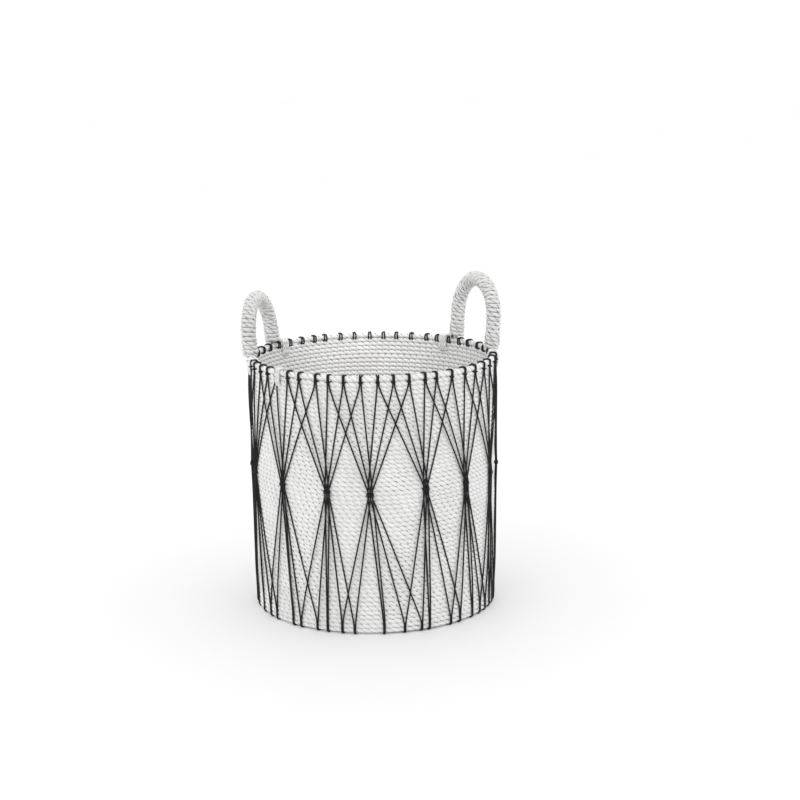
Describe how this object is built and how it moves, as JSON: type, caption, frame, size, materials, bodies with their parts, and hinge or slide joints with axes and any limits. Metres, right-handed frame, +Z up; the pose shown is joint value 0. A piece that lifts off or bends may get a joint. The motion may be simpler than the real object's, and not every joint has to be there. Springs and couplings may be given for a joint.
{
  "type": "woven laundry basket",
  "caption": "Round, nearly straight-sided woven paper rope basket with a wire frame, two upright wrapped rope handles and black string laced over the outside in gathered diamonds.",
  "frame": {"origin": "on the floor, under the middle of the round base", "axes": "+Z up through the open top; -Y is the front, +X the right, and the handles stand on the -X and +X sides, set back towards +Y"},
  "size_m": [0.3437, 0.3314, 0.432],
  "materials": {
    "white_rope": "matte twisted paper rope, off-white",
    "black_string": "matte to slightly waxed twisted string",
    "steel_wire": "drawn wire, plain"
  },
  "bodies": {
    "root": {"base_course": "white_rope", "base_cross_wire_lower": "steel_wire", "base_cross_wire_upper": "steel_wire", "base_hoop": "steel_wire", "base_weave": "white_rope", "bundle_tie_01": "black_string", "bundle_tie_02": "black_string", "bundle_tie_03": "black_string", "bundle_tie_04": "black_string", "bundle_tie_05": "black_string", "bundle_tie_06": "black_string", "bundle_tie_07": "black_string", "bundle_tie_08": "black_string", "bundle_tie_09": "black_string", "bundle_tie_10": "black_string", "bundle_tie_11": "black_string", "bundle_tie_12": "black_string", "bundle_tie_13": "black_string", "bundle_tie_14": "black_string", "bundle_tie_15": "black_string", "bundle_tie_16": "black_string", "handle_left_far_lashing": "white_rope", "handle_left_filler": "white_rope", "handle_left_near_lashing": "white_rope", "handle_left_wire": "steel_wire", "handle_left_wrap": "white_rope", "handle_right_far_lashing": "white_rope", "handle_right_filler": "white_rope", "handle_right_near_lashing": "white_rope", "handle_right_wire": "steel_wire", "handle_right_wrap": "white_rope", "lacing_strings_01": "black_string", "lacing_strings_02": "black_string", "lacing_strings_03": "black_string", "lacing_strings_04": "black_string", "lacing_strings_05": "black_string", "lacing_strings_06": "black_string", "lacing_strings_07": "black_string", "lacing_strings_08": "black_string", "lacing_strings_09": "black_string", "lacing_strings_10": "black_string", "lacing_strings_11": "black_string", "lacing_strings_12": "black_string", "lacing_strings_13": "black_string", "lacing_strings_14": "black_string", "lacing_strings_15": "black_string", "lacing_strings_16": "black_string", "rim_course": "white_rope", "rim_hoop": "steel_wire", "rim_splice_lashing": "white_rope", "upright_wire_1": "steel_wire", "upright_wire_2": "steel_wire", "upright_wire_3": "steel_wire", "upright_wire_4": "steel_wire", "upright_wire_5": "steel_wire", "upright_wire_6": "steel_wire", "upright_wire_7": "steel_wire", "upright_wire_8": "steel_wire", "wall_weave": "white_rope"}
  },
  "joints": []
}
